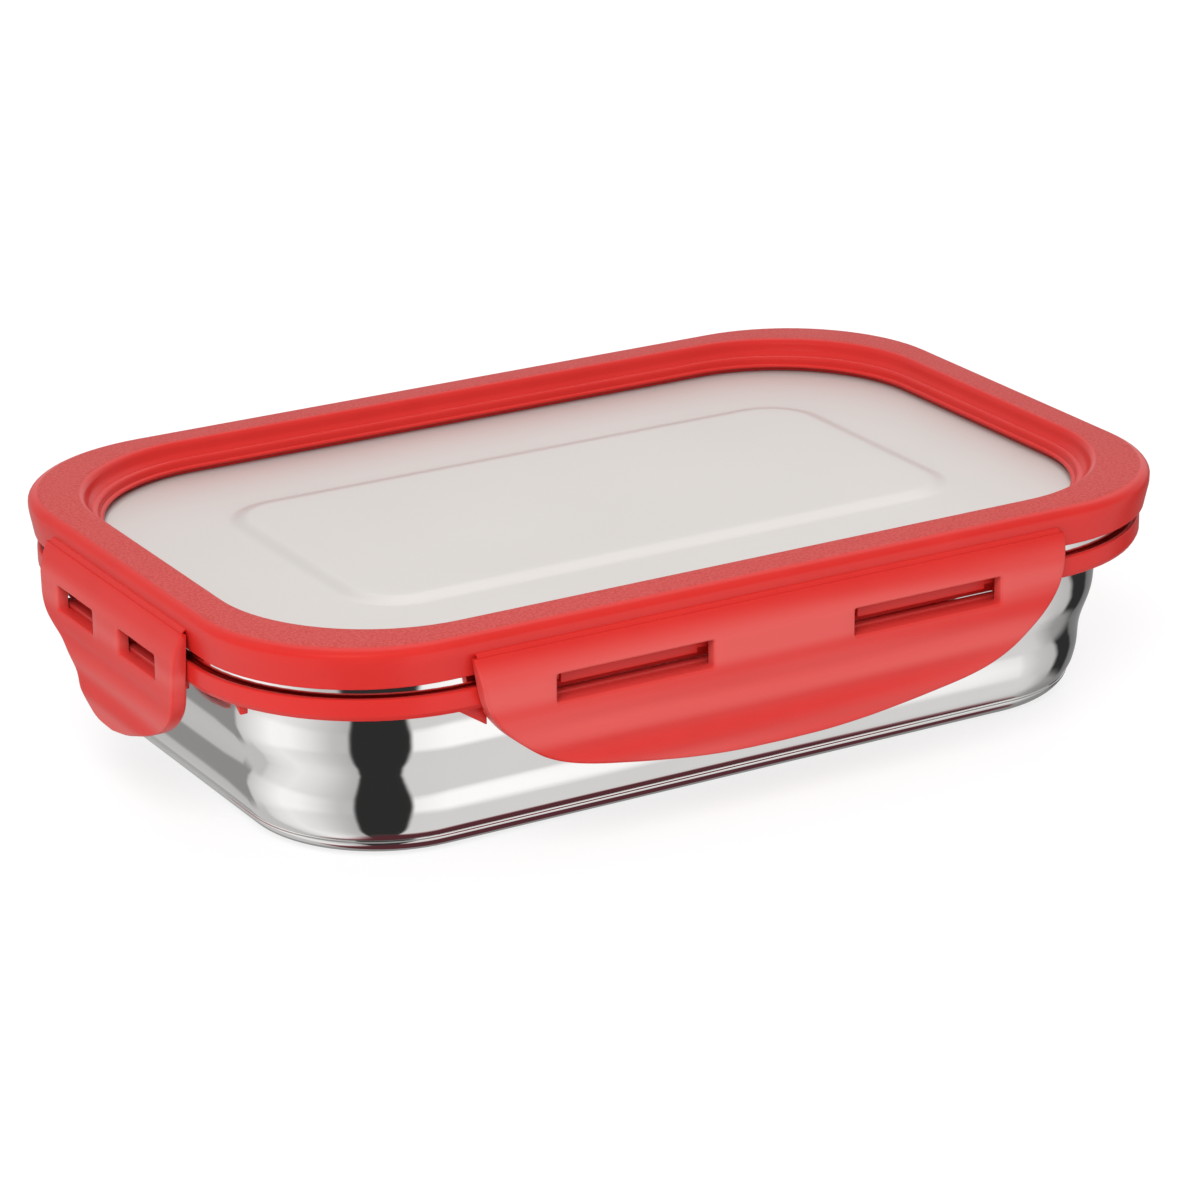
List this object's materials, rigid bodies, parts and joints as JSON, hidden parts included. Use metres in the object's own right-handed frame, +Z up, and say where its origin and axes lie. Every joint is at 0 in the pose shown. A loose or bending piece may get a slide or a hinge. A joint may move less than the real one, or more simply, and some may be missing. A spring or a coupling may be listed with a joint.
{
  "type": "lunch box",
  "caption": "Slim rectangular steel lunch box with a red clip-on lid: steel tub, moulded collar, lid frame around a pressed steel plate, seal, and a slotted snap latch on each side.",
  "frame": {"origin": "centre of the box's footprint, on the surface that it stands on", "axes": "+X along the long side, +Y towards the back, +Z up"},
  "size_m": [0.195, 0.1304, 0.043],
  "materials": {
    "polished_steel": "mirror polished",
    "satin_steel": "satin",
    "red_plastic": "smooth, with a fine texture on the lid's top band",
    "silicone": "matt"
  },
  "bodies": {
    "box": {"container": "polished_steel", "rim_collar": "red_plastic"},
    "lid": {"lid_frame": "red_plastic", "lid_plate": "satin_steel", "plate_retainer": "red_plastic", "lid_seal": "silicone"},
    "front_latch": {"latch_front": "red_plastic", "hinge_web_front": "red_plastic", "snap_lip_front": "red_plastic"},
    "back_latch": {"latch_back": "red_plastic", "hinge_web_back": "red_plastic", "snap_lip_back": "red_plastic"},
    "left_latch": {"latch_left": "red_plastic", "hinge_web_left": "red_plastic", "snap_lip_left": "red_plastic"},
    "right_latch": {"latch_right": "red_plastic", "hinge_web_right": "red_plastic", "snap_lip_right": "red_plastic"}
  },
  "joints": [
    {"name": "lid_lift", "type": "slide", "parent": "box", "child": "lid", "axis": [0, 0, 1], "range_m": [0, 0.06], "deforming": ["snap_lip_front", "snap_lip_back", "snap_lip_left", "snap_lip_right"]},
    {"name": "front_latch_hinge", "type": "hinge", "parent": "lid", "child": "front_latch", "pos_m": [0, -0.0628, 0.0396], "axis": [-1, 0, 0], "range_deg": [0, 105]},
    {"name": "back_latch_hinge", "type": "hinge", "parent": "lid", "child": "back_latch", "pos_m": [0, 0.0628, 0.0396], "axis": [1, 0, 0], "range_deg": [0, 105]},
    {"name": "left_latch_hinge", "type": "hinge", "parent": "lid", "child": "left_latch", "pos_m": [-0.0951, 0, 0.0396], "axis": [0, 1, 0], "range_deg": [0, 105]},
    {"name": "right_latch_hinge", "type": "hinge", "parent": "lid", "child": "right_latch", "pos_m": [0.0951, 0, 0.0396], "axis": [0, -1, 0], "range_deg": [0, 105]}
  ]
}
